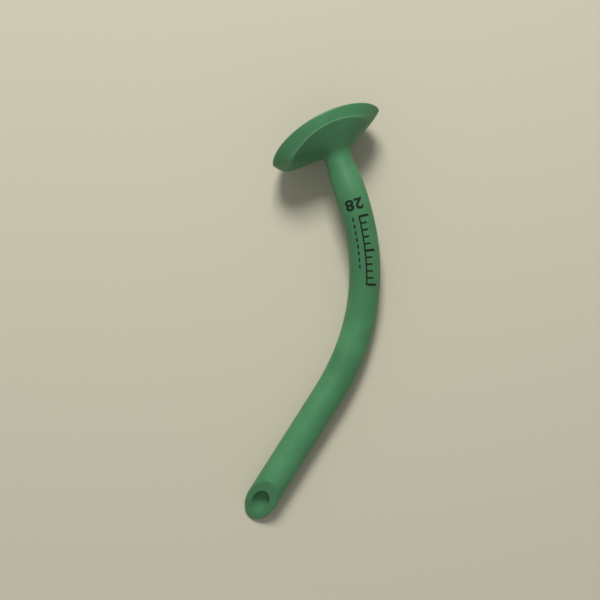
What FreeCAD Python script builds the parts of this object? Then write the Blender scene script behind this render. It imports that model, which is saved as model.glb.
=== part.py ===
import FreeCAD, Part

import math
import os

from FreeCAD import Placement, Rotation, Vector

# Nasopharyngeal airway, French size 28: a soft rubber tube with a trumpet flange at one end and
# a bevelled, rounded tip at the other, moulded in one piece.
# It lies on its side, with its oval flange and the lower half of its tube on the table.
# The origin is the centre of the throat, where the neck's straight bore opens into the flange.
# +Y runs out of the flange along the throat, +Z is up. Lengths are in millimetres, angles in
# degrees.

DIMENSIONS = [
    ("TubeDiameter", 9.33, "outside of the tube, 28 French"),
    ("LumenDiameter", 7.0, "bore of the tube"),
    ("NeckDiameter", 8.1, "outside of the neck, just under the flange"),
    ("NeckBore", 6.3, "bore of the neck"),
    ("NeckRun", 9.0, "straight length from the throat to the first bend"),
    ("NeckBoreWidening", 1.7, "end of that length where the bore grows to the tube's"),
    ("DropBendRadius", 44.0, "bend that lets the tube down from the flange"),
    ("DropBendTurn", 7.6, "sideways turn of that bend"),
    ("MiddleBendRadius", 56.5, "bend that lays the tube on the table"),
    ("MiddleBendTurn", 32.0, "sideways turn of that bend"),
    ("LastBendRadius", 74.0, "bend that lies on the table"),
    ("LastBendTurn", 12.5, "turn of that bend"),
    ("TailRun", 45.8, "straight length from the last bend to the tip"),
    ("TipBore", 4.8, "bore of the thicker tip"),
    ("TipBoreRun", 22.0, "length of that bore, back from the tip"),
    ("TipBoreNarrowing", 8.0, "length over which the tube's bore shrinks to it"),
    ("BevelAngle", 32.0, "between the bevel and the tube's axis"),
    ("BevelRoll", 6.0, "turn of the bevel from straight up to the inside of the curve"),
    ("BevelOuterRound", 0.55, "rounding of the bevel's outer edge"),
    ("BevelInnerEase", 0.35, "chamfer of the bevel's inner edge"),
    ("FlangeWidth", 34.9, "oval rim from side to side"),
    ("FlangeHeight", 23.4, "oval rim from top to bottom"),
    ("FlangeDepth", 5.2, "rim's sides ahead of the flange's root"),
    ("FlangeFold", 5.1, "rim's top and bottom ahead of its sides"),
    ("CreaseWidth", 30.8, "oval crease round the flange from side to side"),
    ("CreaseHeight", 22.0, "oval crease from top to bottom"),
    ("CreaseDepth", 2.8, "crease's sides ahead of the root"),
    ("CreaseFold", 4.7, "crease's top and bottom ahead of its sides"),
    ("RimTilt", 8.0, "turn of the rim from square to the throat"),
    ("CreaseTilt", 11.5, "turn of the crease from square to the throat"),
    ("FlangeShift", 0.7, "middle of the rim and the crease from the throat, to the inside of the curve"),
    ("FlangeWall", 0.9, "wall of the flange"),
    ("RootRound", 1.7, "length of the rounding on each side of the flange's root"),
]

# The fold grows from the flange's sides to its top and bottom as these powers of the height.
RIM_FOLD_POWER = 1.25
CREASE_FOLD_POWER = 2.0
# Points that a ring round the flange is drawn through, and flat strips in its half-round rim.
RING_POINTS = 36
RIM_STRIPS = 3
# Angle step, in radians, that the flange's surface directions are measured over.
SMALL_TURN = 0.01


def add_sheet(doc):
    sheet = doc.addObject("Spreadsheet::Sheet", "Dimensions")
    for row, (alias, value, note) in enumerate(DIMENSIONS, start=1):
        sheet.set(f"A{row}", alias)
        sheet.set(f"B{row}", str(value))
        sheet.set(f"C{row}", note)
        sheet.setAlias(f"B{row}", alias)
    doc.recompute()
    return sheet


# The flange is a trumpet that was round when it was moulded and is pressed oval, which folds
# its top and bottom forward of its sides. A meridian is a line down the flange at one angle
# round the throat, counted from the outside of the curve over the top. Its stations are the
# neck's end, the corner of the root, the end of the root's rounding, the crease and the rim.

NECK, ROOT, ROOT_END, CREASE, RIM = range(5)


def fold(angle, power):
    return abs(math.sin(angle)) ** power


def oval_point(sheet, angle, width, height, depth, tilt):
    """A point of an oval round the flange, which is turned about the flange's root."""
    flat = Vector(0.5 * width * math.cos(angle), depth, 0.5 * height * math.sin(angle))
    root = Vector(-sheet.FlangeShift, sheet.RootRound, 0)
    return root + Rotation(Vector(0, 0, 1), tilt).multVec(flat)


def circle_point(diameter, angle, y):
    return Vector(0.5 * diameter * math.cos(angle), y, 0.5 * diameter * math.sin(angle))


def outer_meridian(sheet, angle):
    """The stations down the outside of the flange at one angle."""
    neck = circle_point(sheet.NeckDiameter, angle, 0.0)
    root = circle_point(sheet.NeckDiameter, angle, sheet.RootRound)
    crease_depth = sheet.CreaseDepth + sheet.CreaseFold * fold(angle, CREASE_FOLD_POWER)
    crease = oval_point(
        sheet, angle, sheet.CreaseWidth, sheet.CreaseHeight, crease_depth, sheet.CreaseTilt
    )
    rim_depth = sheet.FlangeDepth + sheet.FlangeFold * fold(angle, RIM_FOLD_POWER)
    rim = oval_point(sheet, angle, sheet.FlangeWidth, sheet.FlangeHeight, rim_depth, sheet.RimTilt)
    root_end = root + (crease - root).normalize() * sheet.RootRound
    return [neck, root, root_end, crease, rim]


def outward(sheet, angle, first, last):
    """Direction square to the flange's outside, midway between two stations."""
    here = outer_meridian(sheet, angle)
    ahead = outer_meridian(sheet, angle + SMALL_TURN)
    behind = outer_meridian(sheet, angle - SMALL_TURN)
    across = ahead[first] + ahead[last] - behind[first] - behind[last]
    return (here[last] - here[first]).cross(across).normalize()


def meeting(start, along, other_start, other_along):
    """Where a line comes nearest to another line."""
    square = along.cross(other_along)
    reach = (other_start - start).cross(other_along).dot(square) / square.dot(square)
    return start + along * reach


def inner_meridian(sheet, angle):
    """The stations down the inside, where the wall is as thick on the face as on the lip."""
    outer = outer_meridian(sheet, angle)
    root_end = outer[ROOT_END] - outward(sheet, angle, ROOT_END, CREASE) * sheet.FlangeWall
    rim = outer[RIM] - outward(sheet, angle, CREASE, RIM) * sheet.FlangeWall
    face_run = outer[CREASE] - outer[ROOT_END]
    lip_run = outer[RIM] - outer[CREASE]
    neck = circle_point(sheet.NeckBore, angle, 0.0)
    root = meeting(root_end, face_run, neck, Vector(0, 1, 0))
    crease = meeting(root_end, face_run, rim, lip_run)
    return [neck, root, root_end, crease, rim]


def rim_meridian(sheet, angle):
    """The half-round rim edge from the outside to the inside."""
    outer = outer_meridian(sheet, angle)
    inside = inner_meridian(sheet, angle)[RIM]
    middle = (outer[RIM] + inside) * 0.5
    out = outer[RIM] - middle
    ahead = (outer[RIM] - outer[CREASE]).normalize() * out.Length
    turns = [math.pi * strip / RIM_STRIPS for strip in range(RIM_STRIPS + 1)]
    return [middle + out * math.cos(turn) + ahead * math.sin(turn) for turn in turns]


def ring(sheet, meridian, station):
    """A closed smooth curve round the throat, through one station of the meridians."""
    shares = [step / RING_POINTS for step in range(RING_POINTS + 1)]
    points = [meridian(sheet, 2.0 * math.pi * share)[station] for share in shares[:-1]]
    curve = Part.BSplineCurve()
    curve.interpolate(Points=points, Parameters=shares, PeriodicFlag=True)
    return curve


def band(rings):
    """A skin from the first ring to the last, straight or rounding off the ring between."""
    first = rings[0]
    across = len(rings) - 1
    poles = list(zip(*[curve.getPoles() for curve in rings]))
    knots_round = first.getKnots()
    joins_round = first.getMultiplicities()
    skin = Part.BSplineSurface()
    skin.buildFromPolesMultsKnots(
        poles,
        joins_round,
        [across + 1, across + 1],
        knots_round,
        [0.0, 1.0],
        True,
        False,
        first.Degree,
        across,
    )
    return skin.toShape()


def flange_shape(sheet):
    """The flange as one closed skin of an outside, a rim edge, an inside and a flat root."""
    faces = []
    root = []
    for meridian in (outer_meridian, inner_meridian):
        rings = [ring(sheet, meridian, station) for station in range(RIM + 1)]
        faces.append(band(rings[NECK : ROOT_END + 1]))
        faces.append(band(rings[ROOT_END : CREASE + 1]))
        faces.append(band(rings[CREASE : RIM + 1]))
        root.append(Part.Wire([rings[NECK].toShape()]))
    edge = [ring(sheet, rim_meridian, station) for station in range(RIM_STRIPS + 1)]
    faces += [band(edge[strip : strip + 2]) for strip in range(RIM_STRIPS)]
    faces.append(Part.Face(root, "Part::FaceMakerCheese"))

    shell = Part.makeShell(faces)
    shell.sewShape()
    solid = Part.Solid(shell)
    if solid.Volume < 0:
        solid.reverse()
    return solid


def neck_profile(sheet):
    """Half section of the neck, which narrows to the throat and whose bore widens at its end."""
    throat = 0.5 * sheet.NeckDiameter
    end = 0.5 * sheet.TubeDiameter
    third = sheet.NeckRun / 3.0
    side = Part.BezierCurve()
    side.setPoles(
        [
            Vector(end, -sheet.NeckRun, 0),
            Vector(end, -2.0 * third, 0),
            Vector(throat, -third, 0),
            Vector(throat, 0, 0),
        ]
    )
    widening = min(sheet.NeckBoreWidening, 0.5 * sheet.NeckRun)
    corners = [
        Vector(throat, 0, 0),
        Vector(0.5 * sheet.NeckBore, 0, 0),
        Vector(0.5 * sheet.NeckBore, widening - sheet.NeckRun, 0),
        Vector(0.5 * sheet.LumenDiameter, -sheet.NeckRun, 0),
        Vector(end, -sheet.NeckRun, 0),
    ]
    lines = [Part.LineSegment(a, b).toShape() for a, b in zip(corners, corners[1:])]
    return Part.Face(Part.Wire([side.toShape()] + lines))


def add_neck(doc, sheet):
    profile = doc.addObject("Part::Feature", "NeckProfile")
    profile.Shape = neck_profile(sheet)
    neck = doc.addObject("Part::Revolution", "Neck")
    neck.Source = profile
    neck.Axis = Vector(0, 1, 0)
    neck.Angle = 360.0
    neck.Solid = True
    return neck


# The centre line runs from the neck's end to the tip as straight runs and tangent arcs.


def heading(turn, fall):
    """Direction of the tube after turning from -Y toward -X and tipping down."""
    turn = math.radians(turn)
    fall = math.radians(fall)
    level = math.cos(fall)
    return Vector(-math.sin(turn) * level, -math.cos(turn) * level, -math.sin(fall))


def bend(start, before, after, radius):
    """Middle and end of the arc that turns a run from one direction to another."""
    angle = before.getAngle(after)
    inward = (after - before * before.dot(after)).normalize()

    def at(turned):
        return start + before * (radius * math.sin(turned)) + inward * (radius * (1 - math.cos(turned)))

    return at(0.5 * angle), at(angle)


def bend_points(sheet, fall):
    """Ends and middles of the three bends, for a given fall of the tube between the first two."""
    turns = [sheet.DropBendTurn, sheet.MiddleBendTurn, sheet.LastBendTurn]
    radii = [sheet.DropBendRadius, sheet.MiddleBendRadius, sheet.LastBendRadius]
    falls = [fall, 0.0, 0.0]
    place = Vector(0, -sheet.NeckRun, 0)
    before = heading(0.0, 0.0)
    turned = 0.0
    points = [place]
    for turn, radius, tipped in zip(turns, radii, falls):
        turned += turn
        after = heading(turned, tipped)
        middle, place = bend(place, before, after, radius)
        points += [middle, place]
        before = after
    return points, before


def table_height(sheet):
    """Height of the table under the throat's centre: the lowest point of the flange's rim."""
    return min(point.z for point in rim_meridian(sheet, -0.5 * math.pi))


def fall_angle(sheet):
    """The fall between the bends that brings the tube's underside down to the table."""
    floor = table_height(sheet) + 0.5 * sheet.TubeDiameter
    low, high = 0.0, 45.0
    for _ in range(60):
        middle = 0.5 * (low + high)
        if bend_points(sheet, middle)[0][-1].z > floor:
            low = middle
        else:
            high = middle
    return low


def centre_line(sheet, short=0.0):
    """The centre line, with its tail stopped short of the tip by a given length."""
    points, tail = bend_points(sheet, fall_angle(sheet))
    edges = [
        Part.Arc(points[k], points[k + 1], points[k + 2]).toShape()
        for k in range(0, len(points) - 1, 2)
    ]
    tail_end = points[-1] + tail * (sheet.TailRun - short)
    edges.append(Part.LineSegment(points[-1], tail_end).toShape())
    return Part.Wire(edges)


def tail_placement(sheet, short):
    """A place on the tail, a given length short of the tip, with its z axis toward the tip."""
    points, tail = bend_points(sheet, fall_angle(sheet))
    return Placement(points[-1] + tail * (sheet.TailRun - short), Rotation(Vector(0, 0, 1), tail))


def add_line(doc, name, shape):
    line = doc.addObject("Part::Feature", name)
    line.Shape = shape
    return line


def add_sweep(doc, name, line, diameter):
    """A round bar along a line, its section square to the line's start."""
    section = doc.addObject("Part::Circle", name + "Section")
    section.setExpression("Radius", f"0.5 * Dimensions.{diameter}")
    start = line.Shape.Edges[0].Vertexes[0].Point
    section.Placement = Placement(start, Rotation(Vector(0, 0, 1), heading(0.0, 0.0)))
    sweep = doc.addObject("Part::Sweep", name)
    sweep.Sections = [section]
    sweep.Spine = (line, [f"Edge{k + 1}" for k in range(len(line.Shape.Edges))])
    sweep.Solid = True
    return sweep


def add_tube(doc, sheet):
    """The tube behind the neck: a swept bar less a swept bore, which narrows near the tip."""
    line = add_line(doc, "CentreLine", centre_line(sheet))
    outside = add_sweep(doc, "TubeOutside", line, "TubeDiameter")

    narrowing_start = sheet.TipBoreRun + sheet.TipBoreNarrowing
    lumen_line = add_line(doc, "LumenLine", centre_line(sheet, narrowing_start))
    lumen = add_sweep(doc, "Lumen", lumen_line, "LumenDiameter")

    narrowing = doc.addObject("Part::Cone", "TipBoreNarrowing")
    narrowing.setExpression("Radius1", "0.5 * Dimensions.LumenDiameter")
    narrowing.setExpression("Radius2", "0.5 * Dimensions.TipBore")
    narrowing.setExpression("Height", "Dimensions.TipBoreNarrowing")
    narrowing.Placement = tail_placement(sheet, narrowing_start)

    tip_bore = doc.addObject("Part::Cylinder", "TipBore")
    tip_bore.setExpression("Radius", "0.5 * Dimensions.TipBore")
    tip_bore.setExpression("Height", "Dimensions.TipBoreRun")
    tip_bore.Placement = tail_placement(sheet, sheet.TipBoreRun)

    bore = doc.addObject("Part::MultiFuse", "WholeBore")
    bore.Shapes = [lumen, narrowing, tip_bore]
    tube = doc.addObject("Part::Cut", "Tube")
    tube.Base = outside
    tube.Tool = bore
    doc.recompute()
    return tube


def bevel_placement(sheet):
    """The bevel's plane, through the far tip of the tube's wall, with its z axis off the tube."""
    tip_run = 0.5 * sheet.TubeDiameter / math.tan(math.radians(sheet.BevelAngle))
    crossing = tail_placement(sheet, tip_run).Base
    points, tail = bend_points(sheet, fall_angle(sheet))
    inside = Vector(0, 0, 1).cross(tail) * -1
    roll = math.radians(sheet.BevelRoll)
    facing = Vector(0, 0, math.cos(roll)) + inside * math.sin(roll)
    slope = math.radians(sheet.BevelAngle)
    normal = tail * math.sin(slope) + facing * math.cos(slope)
    down_slope = tail * math.cos(slope) - facing * math.sin(slope)
    turned = Rotation(down_slope, normal.cross(down_slope), normal, "ZXY")
    return Placement(crossing, turned)


def add_bevel(doc, sheet, tube):
    """Cuts the tip off at the bevel's plane and takes both edges of the cut off."""
    block = doc.addObject("Part::Box", "BevelBlock")
    block.setExpression("Length", "4 * Dimensions.TubeDiameter")
    block.setExpression("Width", "2 * Dimensions.TubeDiameter")
    block.setExpression("Height", "2 * Dimensions.TubeDiameter")
    corner = Vector(-2 * sheet.TubeDiameter, -sheet.TubeDiameter, 0)
    block.Placement = bevel_placement(sheet).multiply(Placement(corner, Rotation()))
    cut = doc.addObject("Part::Cut", "BevelledTube")
    cut.Base = tube
    cut.Tool = block
    doc.recompute()

    eased = doc.addObject("Part::Chamfer", "EasedTube")
    eased.Base = cut
    eased.Edges = bevel_edges(sheet, cut.Shape, False, sheet.BevelInnerEase)
    doc.recompute()
    rounded_tip = doc.addObject("Part::Fillet", "RoundedTube")
    rounded_tip.Base = eased
    rounded_tip.Edges = bevel_edges(sheet, eased.Shape, True, sheet.BevelOuterRound)
    doc.recompute()
    return rounded_tip


def bevel_edges(sheet, shape, outer, size):
    """The bevel face's outer or inner edges, by number, each with the size of its rounding."""
    plane = bevel_placement(sheet)
    facing = plane.Rotation.multVec(Vector(0, 0, 1))

    def miss(face):
        return max(abs((vertex.Point - plane.Base).dot(facing)) for vertex in face.Vertexes)

    face = min(shape.Faces, key=miss)
    wires = [wire for wire in face.Wires if wire.isSame(face.OuterWire) == outer]
    wanted = [edge for wire in wires for edge in wire.Edges]
    return [
        (number, size, size)
        for number, edge in enumerate(shape.Edges, start=1)
        if any(edge.isSame(other) for other in wanted)
    ]


def check(doc):
    for item in doc.Objects:
        if "Invalid" in item.State or "Error" in item.State:
            raise RuntimeError(f"{item.Name} is {item.State}")
        shape = getattr(item, "Shape", None)
        if shape is not None and (shape.isNull() or not shape.isValid()):
            raise RuntimeError(f"{item.Name} has a bad shape")


def build():
    doc = FreeCAD.newDocument("NasopharyngealAirway")
    sheet = add_sheet(doc)

    flange = doc.addObject("Part::Feature", "Flange")
    flange.Shape = flange_shape(sheet)
    neck = add_neck(doc, sheet)
    tube = add_bevel(doc, sheet, add_tube(doc, sheet))
    airway = doc.addObject("Part::MultiFuse", "Airway")
    airway.Label = "airway"
    airway.Shapes = [flange, neck, tube]
    doc.recompute()
    check(doc)

    os.makedirs("parts", exist_ok=True)
    airway.Shape.exportStep(os.path.join("parts", airway.Label + ".step"))


build()
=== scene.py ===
import math

import bmesh
import bpy
from mathutils import Matrix, Vector
from mathutils.bvhtree import BVHTree


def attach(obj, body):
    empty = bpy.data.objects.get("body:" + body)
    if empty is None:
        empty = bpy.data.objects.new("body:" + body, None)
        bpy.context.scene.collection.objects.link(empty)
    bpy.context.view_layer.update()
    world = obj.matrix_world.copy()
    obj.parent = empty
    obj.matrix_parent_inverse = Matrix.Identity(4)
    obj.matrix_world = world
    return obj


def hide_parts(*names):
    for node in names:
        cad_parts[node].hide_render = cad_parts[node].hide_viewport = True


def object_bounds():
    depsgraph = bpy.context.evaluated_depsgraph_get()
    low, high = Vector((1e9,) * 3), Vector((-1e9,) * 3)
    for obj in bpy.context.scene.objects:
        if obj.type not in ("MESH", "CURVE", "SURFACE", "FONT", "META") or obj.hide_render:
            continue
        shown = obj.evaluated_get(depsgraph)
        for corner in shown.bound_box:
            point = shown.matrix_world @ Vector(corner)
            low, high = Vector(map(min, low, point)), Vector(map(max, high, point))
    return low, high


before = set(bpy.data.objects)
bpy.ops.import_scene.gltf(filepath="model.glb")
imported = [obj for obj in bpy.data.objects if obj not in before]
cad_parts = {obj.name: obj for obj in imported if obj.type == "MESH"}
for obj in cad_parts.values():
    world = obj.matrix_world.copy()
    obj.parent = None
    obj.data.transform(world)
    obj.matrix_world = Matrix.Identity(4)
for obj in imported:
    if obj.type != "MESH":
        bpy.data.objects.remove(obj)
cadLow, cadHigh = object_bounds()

mm = 0.001


def newMaterial(name):
    material = bpy.data.materials.new(name)
    material.use_nodes = True
    nodes = material.node_tree.nodes
    nodes.clear()
    output = nodes.new("ShaderNodeOutputMaterial")
    shader = nodes.new("ShaderNodeBsdfPrincipled")
    material.node_tree.links.new(shader.outputs["BSDF"], output.inputs["Surface"])
    return material, shader


def addNode(tree, kind, settings=None, inputs=None):
    node = tree.nodes.new(kind)
    for key, value in (settings or {}).items():
        setattr(node, key, value)
    for key, value in (inputs or {}).items():
        if isinstance(value, bpy.types.NodeSocket):
            tree.links.new(value, node.inputs[key])
        else:
            node.inputs[key].default_value = value
    return node


def addSocket(tree, name, inOut):
    tree.interface.new_socket(name=name, in_out=inOut, socket_type="NodeSocketFloat")


def placeGroup(tree, group, inputs):
    return addNode(tree, "ShaderNodeGroup", {"node_tree": group}, inputs)


def multiply(tree, first, second):
    return addNode(tree, "ShaderNodeMath", {"operation": "MULTIPLY"}, {0: first, 1: second}).outputs[0]


def mixColor(tree, mask, first, second):
    mix = addNode(tree, "ShaderNodeMix", {"data_type": "RGBA"})
    # inputs 0, 6 and 7 of a colour mix are its factor, A and B, and output 2 is its colour
    for socket, value in ((mix.inputs[0], mask), (mix.inputs[6], first), (mix.inputs[7], second)):
        if isinstance(value, bpy.types.NodeSocket):
            tree.links.new(value, socket)
        else:
            socket.default_value = value
    return mix.outputs[2]


def remap(tree, value, fromLow, fromHigh, toLow, toHigh):
    node = addNode(
        tree,
        "ShaderNodeMapRange",
        None,
        {"Value": value, "From Min": fromLow, "From Max": fromHigh, "To Min": toLow, "To Max": toHigh},
    )
    return node.outputs["Result"]


def toObject(bm, name, material):
    mesh = bpy.data.meshes.new(name)
    bm.to_mesh(mesh)
    bm.free()
    mesh.materials.append(material)
    piece = bpy.data.objects.new(name, mesh)
    bpy.context.scene.collection.objects.link(piece)
    return piece


mottling = {
    "cloudDetail": 3.0,
    "cloudRoughness": 0.5,
    "fineDetail": 4.0,
    "fineRoughness": 0.6,
}


def softMottleGroup():
    # a slow cloudy variation and a fine one, each from 0 to 1
    tree = bpy.data.node_groups.new("softMottle", "ShaderNodeTree")
    addSocket(tree, "Cloud Scale", "INPUT")
    addSocket(tree, "Fine Scale", "INPUT")
    addSocket(tree, "Cloud", "OUTPUT")
    addSocket(tree, "Fine", "OUTPUT")
    start = tree.nodes.new("NodeGroupInput")
    end = tree.nodes.new("NodeGroupOutput")
    place = addNode(tree, "ShaderNodeTexCoord").outputs["Object"]
    for name, kind in (("Cloud", "cloud"), ("Fine", "fine")):
        noise = addNode(
            tree,
            "ShaderNodeTexNoise",
            None,
            {
                "Vector": place,
                "Scale": start.outputs[name + " Scale"],
                "Detail": mottling[kind + "Detail"],
                "Roughness": mottling[kind + "Roughness"],
            },
        )
        tree.links.new(noise.outputs["Fac"], end.inputs[name])
    return tree


dusting = {
    "patchScale": 260.0,
    "patchDetail": 2.0,
    "patchRange": (0.58, 0.68, 0.0, 1.0),
    "upRange": (0.1, 0.8, 0.0, 1.0),
}


def dustGroup():
    # sparse pale specks, mostly on surfaces that face up
    tree = bpy.data.node_groups.new("restingDust", "ShaderNodeTree")
    addSocket(tree, "Speck Scale", "INPUT")
    addSocket(tree, "Speck Size", "INPUT")
    addSocket(tree, "Dust", "OUTPUT")
    start = tree.nodes.new("NodeGroupInput")
    end = tree.nodes.new("NodeGroupOutput")
    place = addNode(tree, "ShaderNodeTexCoord").outputs["Object"]
    cells = addNode(
        tree,
        "ShaderNodeTexVoronoi",
        {"feature": "F1"},
        {"Vector": place, "Scale": start.outputs["Speck Scale"]},
    )
    speck = remap(tree, cells.outputs["Distance"], 0.0, start.outputs["Speck Size"], 1.0, 0.0)
    patches = addNode(
        tree,
        "ShaderNodeTexNoise",
        None,
        {"Vector": place, "Scale": dusting["patchScale"], "Detail": dusting["patchDetail"]},
    )
    rare = remap(tree, patches.outputs["Fac"], *dusting["patchRange"])
    normal = addNode(tree, "ShaderNodeNewGeometry").outputs["Normal"]
    up = addNode(tree, "ShaderNodeSeparateXYZ", None, {"Vector": normal}).outputs["Z"]
    facing = remap(tree, up, *dusting["upRange"])
    dust = multiply(tree, multiply(tree, speck, rare), facing)
    tree.links.new(dust, end.inputs["Dust"])
    return tree


softMottle = softMottleGroup()
restingDust = dustGroup()


# A range holds the lowest and highest value read, and what they become. Lengths are in metres.
rubber = {
    "deep": (0.034, 0.168, 0.064, 1.0),
    "body": (0.048, 0.213, 0.084, 1.0),
    "pale": (0.074, 0.266, 0.115, 1.0),
    # a lighter green painted along the flange's crease as a highlight
    "paintedHighlight": (0.190, 0.450, 0.265, 1.0),
    "dust": (0.42, 0.50, 0.42, 1.0),
    "cloudScale": 70.0,
    "fineScale": 1400.0,
    "bodyRange": (0.32, 0.60, 0.0, 1.0),
    "paleRange": (0.55, 0.80, 0.0, 0.8),
    "fleckRange": (0.55, 0.85, 0.0, 0.35),
    "paintedHighlightRange": (0.0, 1.0, 0.0, 0.85),
    "dustRange": (0.0, 1.0, 0.0, 0.5),
    "speckScale": 700.0,
    "speckSize": 0.12,
    "roughRange": (0.3, 0.7, 0.46, 0.60),
    "polishRoughRange": (0.0, 1.0, 1.0, 0.50),
    "waveScale": 160.0,
    "waveDetail": 1.0,
    "waveDepth": 0.00013,
    "waveStrength": 0.35,
    "grainDepth": 0.000006,
    "grainStrength": 0.5,
    "subsurface": 0.08,
    "subsurfaceRadius": (0.35, 1.0, 0.5),
    "subsurfaceScale": 0.0012,
    "coat": 0.10,
    "coatRoughness": 0.25,
}


def rubberMaterial():
    material, shader = newMaterial("greenRubber")
    tree = material.node_tree
    mottle = placeGroup(
        tree, softMottle, {"Cloud Scale": rubber["cloudScale"], "Fine Scale": rubber["fineScale"]}
    )
    cloud = mottle.outputs["Cloud"]
    fine = mottle.outputs["Fine"]
    polishAndHighlight = addNode(tree, "ShaderNodeAttribute", {"attribute_name": "polishAndHighlight"}).outputs["Fac"]
    dust = placeGroup(
        tree, restingDust, {"Speck Scale": rubber["speckScale"], "Speck Size": rubber["speckSize"]}
    ).outputs["Dust"]
    # the crease mask mixes in a painted highlight colour, and below it also lowers the roughness there
    color = rubber["deep"]
    for mask, limits, tone in (
        (cloud, "bodyRange", "body"),
        (cloud, "paleRange", "pale"),
        (fine, "fleckRange", "pale"),
        (polishAndHighlight, "paintedHighlightRange", "paintedHighlight"),
        (dust, "dustRange", "dust"),
    ):
        color = mixColor(tree, remap(tree, mask, *rubber[limits]), color, rubber[tone])
    tree.links.new(color, shader.inputs["Base Color"])

    rough = remap(tree, cloud, *rubber["roughRange"])
    smoother = remap(tree, polishAndHighlight, *rubber["polishRoughRange"])
    tree.links.new(multiply(tree, rough, smoother), shader.inputs["Roughness"])

    place = addNode(tree, "ShaderNodeTexCoord").outputs["Object"]
    wave = addNode(
        tree,
        "ShaderNodeTexNoise",
        None,
        {"Vector": place, "Scale": rubber["waveScale"], "Detail": rubber["waveDetail"]},
    )
    waveBump = addNode(
        tree,
        "ShaderNodeBump",
        None,
        {
            "Strength": rubber["waveStrength"],
            "Distance": rubber["waveDepth"],
            "Height": wave.outputs["Fac"],
        },
    )
    grainBump = addNode(
        tree,
        "ShaderNodeBump",
        None,
        {
            "Strength": rubber["grainStrength"],
            "Distance": rubber["grainDepth"],
            "Height": fine,
            "Normal": waveBump.outputs["Normal"],
        },
    )
    tree.links.new(grainBump.outputs["Normal"], shader.inputs["Normal"])
    shader.inputs["Subsurface Weight"].default_value = rubber["subsurface"]
    shader.inputs["Subsurface Radius"].default_value = rubber["subsurfaceRadius"]
    shader.inputs["Subsurface Scale"].default_value = rubber["subsurfaceScale"]
    shader.inputs["Coat Weight"].default_value = rubber["coat"]
    shader.inputs["Coat Roughness"].default_value = rubber["coatRoughness"]
    return material


greenRubber = rubberMaterial()
print("rubber material made")

# The flange was moulded round and is pressed oval, which folds its top and bottom forward. Its skin
# runs from the neck over the root's rounding, the face and the crease to the rim. Its lengths are in
# millimetres and its angles in degrees.
flange = {
    "around": 120,
    "rows": {"neck": 1, "root": 6, "face": 12, "crease": 9, "lip": 1},
    "neckFrom": -1.0,
    "neckRadius": 4.05,
    "rootRound": 1.7,
    "middle": (-0.7, 1.7),
    "crease": {"width": 30.8, "height": 22.0, "depth": 2.8, "fold": 4.7, "power": 2.0, "tilt": 11.5},
    "rim": {"width": 34.9, "height": 23.4, "depth": 5.2, "fold": 5.1, "power": 1.25, "tilt": 8.0},
    "crispRound": 0.35,
    "softRound": 3.0,
    "softFrom": 0.5,
    "lipShare": 0.7,
    "wall": 0.9,
    # how fast the crease's painted highlight and polish fade toward the flange's ends
    "polishAndHighlightFade": 1.5,
    "endBand": 0.5,
    "endFacing": 0.7,
    "rimAngle": 60.0,
    "rimRound": 0.40,
    "rimSteps": 4,
}


def ovalPoint(oval, angle):
    across = 0.5 * oval["width"] * math.cos(angle)
    ahead = oval["depth"] + oval["fold"] * abs(math.sin(angle)) ** oval["power"]
    turn = math.radians(oval["tilt"])
    x = flange["middle"][0] + across * math.cos(turn) - ahead * math.sin(turn)
    y = flange["middle"][1] + across * math.sin(turn) + ahead * math.cos(turn)
    return Vector((x, y, 0.5 * oval["height"] * math.sin(angle)))


def arcPoint(start, corner, end, share):
    return start.lerp(corner, share).lerp(corner.lerp(end, share), share)


def flangePoint(angle, row):
    # the place of a row of the skin at one angle round the throat
    radius = flange["neckRadius"]
    side = Vector((radius * math.cos(angle), 0.0, radius * math.sin(angle)))
    root = side + Vector((0.0, flange["rootRound"], 0.0))
    crease, rim = ovalPoint(flange["crease"], angle), ovalPoint(flange["rim"], angle)
    toEnd = max(0.0, abs(math.cos(angle)) - flange["softFrom"]) / (1.0 - flange["softFrom"])
    size = flange["crispRound"] + (flange["softRound"] - flange["crispRound"]) * toEnd**2
    size = min(size, flange["lipShare"] * (rim - crease).length)
    rootEnd = root + (crease - root).normalized() * flange["rootRound"]
    before = crease + (root - crease).normalized() * size
    after = crease + (rim - crease).normalized() * size
    edge = rim + (rim - crease).normalized() * 0.5 * flange["wall"]
    spans = {
        "neck": lambda share: side + Vector((0.0, flange["neckFrom"] * (1.0 - share), 0.0)),
        "root": lambda share: arcPoint(side, root, rootEnd, share),
        "face": lambda share: rootEnd.lerp(before, share),
        "crease": lambda share: arcPoint(before, crease, after, share),
        "lip": lambda share: after.lerp(edge, share),
    }
    for span, count in flange["rows"].items():
        if row <= count:
            return spans[span](row / count) * mm
        row -= count


def creasePolishAndHighlight(angle, row):
    # painted highlight and real polish on the crease: 1 on the crisp part of the crease, fading to 0
    # beside it and toward the flange's ends
    rows = flange["rows"]
    share = (row - rows["neck"] - rows["root"] - rows["face"]) / rows["crease"]
    if not 0.0 < share < 1.0:
        return 0.0
    return (1.0 - abs(2.0 * share - 1.0)) * abs(math.sin(angle)) ** flange["polishAndHighlightFade"]


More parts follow.
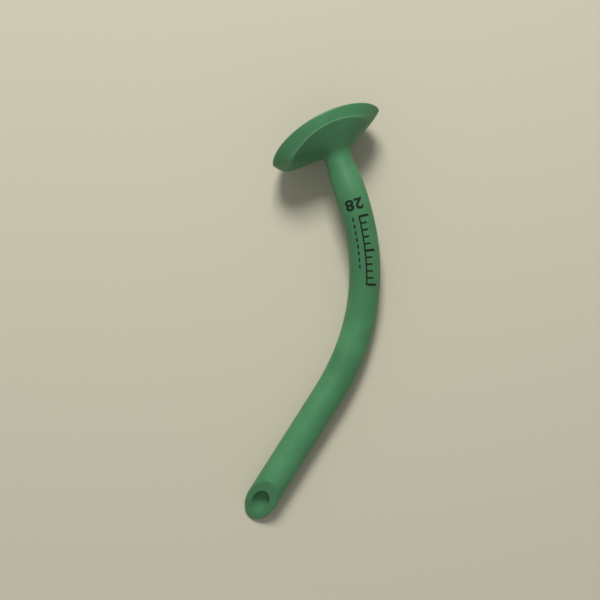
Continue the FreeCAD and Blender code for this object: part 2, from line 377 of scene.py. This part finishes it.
def flangeMesh():
    bm = bmesh.new()
    line = [bm.verts.new((1.0, row, 0.0)) for row in range(sum(flange["rows"].values()) + 1)]
    for first, second in zip(line, line[1:]):
        bm.edges.new((first, second))
    bmesh.ops.spin(
        bm,
        geom=bm.verts[:] + bm.edges[:],
        cent=(0, 0, 0),
        axis=(0, 1, 0),
        angle=2.0 * math.pi,
        steps=flange["around"],
        use_merge=True,
    )
    # each vertex keeps the crease mask, which paints a highlight into the colour and makes the rubber
    # smoother there
    polishAndHighlight = bm.verts.layers.float.new("polishAndHighlight")
    for vert in bm.verts:
        angle, row = math.atan2(vert.co.z, vert.co.x), round(vert.co.y)
        vert[polishAndHighlight] = creasePolishAndHighlight(angle, row)
        vert.co = flangePoint(angle, row)
    bmesh.ops.recalc_face_normals(bm, faces=bm.faces)
    neckFace = min(bm.faces, key=lambda face: face.calc_center_median().y)
    middle = neckFace.calc_center_median()
    if neckFace.normal.dot(Vector((middle.x, 0.0, middle.z))) < 0.0:
        bmesh.ops.reverse_faces(bm, faces=bm.faces)
    bmesh.ops.solidify(bm, geom=bm.faces[:], thickness=flange["wall"] * mm)
    lowest = min(vert.co.y for vert in bm.verts)
    band = lowest + flange["endBand"] * mm
    end = [face for face in bm.faces if max(vert.co.y for vert in face.verts) < band]
    end = [face for face in end if abs(face.normal.y) > flange["endFacing"]]
    bmesh.ops.delete(bm, geom=end, context="FACES")
    return bm


def roundRim(bm):
    limit = math.radians(flange["rimAngle"])
    edges = [edge for edge in bm.edges if edge.calc_face_angle(0.0) > limit]
    bmesh.ops.bevel(
        bm,
        geom=edges,
        offset=flange["rimRound"] * mm,
        segments=flange["rimSteps"],
        profile=0.5,
        affect="EDGES",
        material=-1,
    )


# The tube's lengths are in millimetres and its angle in degrees.
tubing = {
    "weld": 0.002,
    "sharpAngle": 35.0,
    "cutAt": -1.3,
    "boreRadius": 3.15,
}


def tubeMesh():
    # the CAD node's neck and tube, merged, with its flange cut away
    bm = bmesh.new()
    bm.from_mesh(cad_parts["airway"].data)
    bmesh.ops.remove_doubles(bm, verts=bm.verts, dist=tubing["weld"] * mm)
    bmesh.ops.bisect_plane(
        bm,
        geom=bm.verts[:] + bm.edges[:] + bm.faces[:],
        plane_co=(0, tubing["cutAt"] * mm, 0),
        plane_no=(0, 1, 0),
        clear_outer=True,
    )
    limit = math.radians(tubing["sharpAngle"])
    for edge in bm.edges:
        edge.smooth = edge.calc_face_angle(0.0) < limit
    mesh = bpy.data.meshes.new("tube")
    bm.to_mesh(mesh)
    bm.free()
    return mesh


def airwayPiece():
    bm = flangeMesh()
    roundRim(bm)
    tube = tubeMesh()
    bm.from_mesh(tube)
    bpy.data.meshes.remove(tube)
    # both ends are open at the neck: their outer loops are joined, and then their bore loops
    between = 0.5 * (tubing["boreRadius"] + flange["neckRadius"]) * mm
    outside, inside = [], []
    for edge in bm.edges:
        if edge.is_boundary:
            corner = edge.verts[0].co
            loop = outside if math.hypot(corner.x, corner.z) > between else inside
            loop.append(edge)
    for loops in (outside, inside):
        bmesh.ops.bridge_loops(bm, edges=loops)
    bmesh.ops.recalc_face_normals(bm, faces=bm.faces)
    for face in bm.faces:
        face.smooth = True
    piece = toObject(bm, "airwayRubber", greenRubber)
    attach(piece, "root")
    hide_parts("airway")
    return piece


airwayRubber = airwayPiece()
print("airway made", len(airwayRubber.data.polygons))

# The print is laid out flat in millimetres, along the tube and across it, and then wrapped on it.
inkPrint = {
    "color": (0.004, 0.010, 0.006, 1.0),
    "worn": (0.010, 0.035, 0.018, 1.0),
    "cloudScale": 900.0,
    "fineScale": 2600.0,
    "wornRange": (0.60, 0.78, 0.0, 0.8),
    "roughRange": (0.3, 0.7, 0.42, 0.58),
    "specular": 0.25,
    "grainDepth": 0.000008,
    "grainStrength": 0.4,
    "guideStart": (0.0, 0.0),
    "guideEnd": (-7.829, -43.563),
    "startHeading": (0.0, -1.0),
    "endHeading": (-0.4765, -0.8729),
    "guideStretch": 1.02,
    "tubeRadius": 4.5,
    "rayFrom": 50.0,
    "proud": 0.03,
    "film": 0.03,
    "slice": 0.35,
    "sliceSlack": 0.00001,
    "weld": 0.001,
}


def inkMaterial():
    material, shader = newMaterial("printInk")
    tree = material.node_tree
    mottle = placeGroup(
        tree, softMottle, {"Cloud Scale": inkPrint["cloudScale"], "Fine Scale": inkPrint["fineScale"]}
    )
    fine = mottle.outputs["Fine"]
    color = mixColor(tree, remap(tree, fine, *inkPrint["wornRange"]), inkPrint["color"], inkPrint["worn"])
    tree.links.new(color, shader.inputs["Base Color"])
    rough = remap(tree, mottle.outputs["Cloud"], *inkPrint["roughRange"])
    tree.links.new(rough, shader.inputs["Roughness"])
    shader.inputs["Specular IOR Level"].default_value = inkPrint["specular"]
    bump = addNode(
        tree,
        "ShaderNodeBump",
        None,
        {"Strength": inkPrint["grainStrength"], "Distance": inkPrint["grainDepth"], "Height": fine},
    )
    tree.links.new(bump.outputs["Normal"], shader.inputs["Normal"])
    return material


printInk = inkMaterial()


def guidePoint(along):
    # where the tube's middle line is in plan, this far along from the throat, and its direction
    start, end = Vector(inkPrint["guideStart"]), Vector(inkPrint["guideEnd"])
    reach = (end - start).length / 3.0
    first = start + Vector(inkPrint["startHeading"]) * reach
    last = end - Vector(inkPrint["endHeading"]) * reach
    t = along / (inkPrint["guideStretch"] * 3.0 * reach)
    s = 1.0 - t
    place = start * s**3 + first * (3 * s * s * t) + last * (3 * s * t * t) + end * t**3
    heading = (first - start) * (s * s) + (last - first) * (2 * s * t) + (end - last) * (t * t)
    return place, heading.normalized()


surfaceMesh = bmesh.new()
surfaceMesh.from_mesh(airwayRubber.data)
surface = BVHTree.FromBMesh(surfaceMesh)
surfaceMesh.free()


def wrapPoint(along, across, lift):
    place, heading = guidePoint(along)
    side = Vector((-heading.y, heading.x))
    offset = inkPrint["tubeRadius"] * math.sin(across / inkPrint["tubeRadius"])
    spot = (place + side * offset) * mm
    above = Vector((spot.x, spot.y, inkPrint["rayFrom"] * mm))
    hit, normal = surface.ray_cast(above, Vector((0, 0, -1)))[:2]
    return hit + normal * (lift * mm)


def sliceFlat(bm):
    # cuts the flat print into strips, so that it can bend round the tube
    step = inkPrint["slice"]
    for axis in (0, 1):
        low = min(v.co[axis] for v in bm.verts)
        high = max(v.co[axis] for v in bm.verts)
        normal = [0, 0, 0]
        normal[axis] = 1
        for k in range(1, int((high - low) / step) + 1):
            place = [0, 0, 0]
            place[axis] = low + k * step
            bmesh.ops.bisect_plane(
                bm,
                geom=bm.verts[:] + bm.edges[:] + bm.faces[:],
                plane_co=place,
                plane_no=normal,
                dist=inkPrint["sliceSlack"],
            )


def wrapPrint(bm, name):
    sliceFlat(bm)
    bmesh.ops.remove_doubles(bm, verts=bm.verts, dist=inkPrint["weld"])
    bmesh.ops.dissolve_degenerate(bm, dist=inkPrint["weld"], edges=bm.edges)
    bmesh.ops.triangulate(bm, faces=bm.faces)
    raised = bmesh.ops.extrude_face_region(bm, geom=bm.faces[:], use_keep_orig=True)
    top = [item for item in raised["geom"] if isinstance(item, bmesh.types.BMVert)]
    bmesh.ops.translate(bm, verts=top, vec=(0, 0, inkPrint["film"]))
    for vert in bm.verts:
        vert.co = wrapPoint(vert.co.x, vert.co.y, inkPrint["proud"] + vert.co.z)
    bmesh.ops.recalc_face_normals(bm, faces=bm.faces)
    piece = toObject(bm, name, printInk)
    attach(piece, "root")
    return piece


sizeDigits = {
    "height": 4.35,
    "stretch": 1.20,
    "bold": 0.14,
    "turn": -90.0,
    "along": 14.2,
    "across": {"2": 1.35, "8": -1.45},
}


def digitPiece(digit, across):
    curve = bpy.data.curves.new("digit" + digit, "FONT")
    curve.body = digit
    curve.size = sizeDigits["height"]
    curve.offset = sizeDigits["bold"]
    curve.align_x = "CENTER"
    curve.align_y = "CENTER"
    text = bpy.data.objects.new("digit" + digit, curve)
    bpy.context.scene.collection.objects.link(text)
    bpy.context.view_layer.update()
    mesh = bpy.data.meshes.new_from_object(text.evaluated_get(bpy.context.evaluated_depsgraph_get()))
    bpy.data.objects.remove(text)
    bm = bmesh.new()
    bm.from_mesh(mesh)
    # the digit stands across the tube, its top toward the tip
    bmesh.ops.scale(bm, verts=bm.verts, vec=(sizeDigits["stretch"], 1, 1))
    turn = Matrix.Rotation(math.radians(sizeDigits["turn"]), 3, "Z")
    bmesh.ops.rotate(bm, verts=bm.verts, matrix=turn, cent=(0, 0, 0))
    bmesh.ops.translate(bm, verts=bm.verts, vec=(sizeDigits["along"], across, 0))
    return wrapPrint(bm, "printDigit" + digit)


def addBar(bm, centerX, centerY, sizeX, sizeY):
    place = Matrix.Translation((centerX, centerY, 0)) @ Matrix.Diagonal((sizeX, sizeY, 1, 1))
    bmesh.ops.create_grid(bm, x_segments=1, y_segments=1, size=0.5, matrix=place)


depthScale = {
    "from": 18.1,
    "step": 2.0,
    "count": 11,
    "longEvery": 5,
    "row": 0.45,
    "lineWidth": 0.45,
    "lineGap": 0.01,
    "tickWidth": 0.50,
    "tickLength": 1.7,
    "longWidth": 0.70,
    "longLength": 2.9,
}


def scalePiece():
    bm = bmesh.new()
    span = (depthScale["count"] - 1) * depthScale["step"]
    middle = depthScale["from"] + 0.5 * span
    addBar(bm, middle, depthScale["row"], span + depthScale["tickWidth"], depthScale["lineWidth"])
    foot = depthScale["row"] + 0.5 * depthScale["lineWidth"] + depthScale["lineGap"]
    for k in range(depthScale["count"]):
        kind = "tick" if k % depthScale["longEvery"] else "long"
        width, length = depthScale[kind + "Width"], depthScale[kind + "Length"]
        addBar(bm, depthScale["from"] + k * depthScale["step"], foot + 0.5 * length, width, length)
    return wrapPrint(bm, "printScale")


dashes = {
    "from": 18.6,
    "step": 2.0,
    "count": 8,
    "row": -1.45,
    "length": 1.2,
    "width": 0.45,
}


def dashPiece():
    bm = bmesh.new()
    for k in range(dashes["count"]):
        along = dashes["from"] + k * dashes["step"]
        addBar(bm, along, dashes["row"], dashes["length"], dashes["width"])
    return wrapPrint(bm, "printDashes")


for digit, across in sizeDigits["across"].items():
    digitPiece(digit, across)
scalePiece()
dashPiece()
print("print made")

# The studio's lengths are in metres.
studio = {
    "floorColor": (0.60, 0.56, 0.43, 1.0),
    "floorRoughness": 0.85,
    "floorSize": 12.0,
    "floorGap": 0.00002,
    "backdropColor": (0.66, 0.64, 0.56, 1.0),
    "keyPower": 6.4,
    "keySize": 0.26,
    "keyPlace": (0.120, 0.540, 0.650),
    "fillPower": 0.35,
    "fillSize": 0.9,
    "fillPlace": (-0.70, -0.45, 0.55),
    "lampAim": (-0.02, -0.035, 0.0),
    "worldColor": (0.96, 0.98, 1.0, 1.0),
    "worldStrength": 0.30,
    "cameraPlace": (-0.02462, -0.03519),
    "cameraHeight": 0.320,
    "cameraTurn": -19.62,
    "cameraAngle": 31.97,
    "cameraNear": 0.01,
}


def floorPiece():
    bm = bmesh.new()
    bmesh.ops.create_grid(bm, x_segments=1, y_segments=1, size=0.5 * studio["floorSize"])
    bmesh.ops.translate(bm, verts=bm.verts, vec=(0, 0, cadLow.z - studio["floorGap"]))
    material, shader = newMaterial("paleFloor")
    shader.inputs["Base Color"].default_value = studio["floorColor"]
    shader.inputs["Roughness"].default_value = studio["floorRoughness"]
    toObject(bm, "floor", material)


def areaLight(name, place, size, power):
    lamp = bpy.data.lights.new(name, "AREA")
    lamp.shape = "SQUARE"
    lamp.size = size
    lamp.energy = power
    light = bpy.data.objects.new(name, lamp)
    light.location = place
    aim = Vector(studio["lampAim"]) - Vector(place)
    light.rotation_euler = aim.to_track_quat("-Z", "Y").to_euler()
    bpy.context.scene.collection.objects.link(light)


def setCamera():
    camera = bpy.data.cameras.new("camera")
    camera.sensor_fit = "HORIZONTAL"
    camera.angle = math.radians(studio["cameraAngle"])
    camera.clip_start = studio["cameraNear"]
    view = bpy.data.objects.new("camera", camera)
    x, y = studio["cameraPlace"]
    view.location = (x, y, cadLow.z + studio["cameraHeight"])
    view.rotation_euler = (0, 0, math.radians(studio["cameraTurn"]))
    bpy.context.scene.collection.objects.link(view)
    bpy.context.scene.camera = view


def setWorld():
    world = bpy.data.worlds.new("studio")
    world.use_nodes = True
    tree = world.node_tree
    light = tree.nodes["Background"]
    light.inputs["Color"].default_value = studio["worldColor"]
    light.inputs["Strength"].default_value = studio["worldStrength"]
    # the camera and reflections see a pale backdrop, which gives no light
    backdrop = addNode(tree, "ShaderNodeBackground", None, {"Color": studio["backdropColor"]})
    rays = addNode(tree, "ShaderNodeLightPath").outputs
    seen = rays["Is Camera Ray"]
    for kind in ("Is Glossy Ray", "Is Transmission Ray"):
        either = addNode(tree, "ShaderNodeMath", {"operation": "MAXIMUM"}, {0: seen, 1: rays[kind]})
        seen = either.outputs[0]
    mix = addNode(tree, "ShaderNodeMixShader")
    tree.links.new(seen, mix.inputs[0])
    tree.links.new(light.outputs[0], mix.inputs[1])
    tree.links.new(backdrop.outputs[0], mix.inputs[2])
    tree.links.new(mix.outputs[0], tree.nodes["World Output"].inputs["Surface"])
    bpy.context.scene.world = world


floorPiece()
areaLight("keyLight", studio["keyPlace"], studio["keySize"], studio["keyPower"])
areaLight("fillLight", studio["fillPlace"], studio["fillSize"], studio["fillPower"])
setCamera()
setWorld()
bpy.context.scene.view_settings.view_transform = "Standard"
print("stage set")
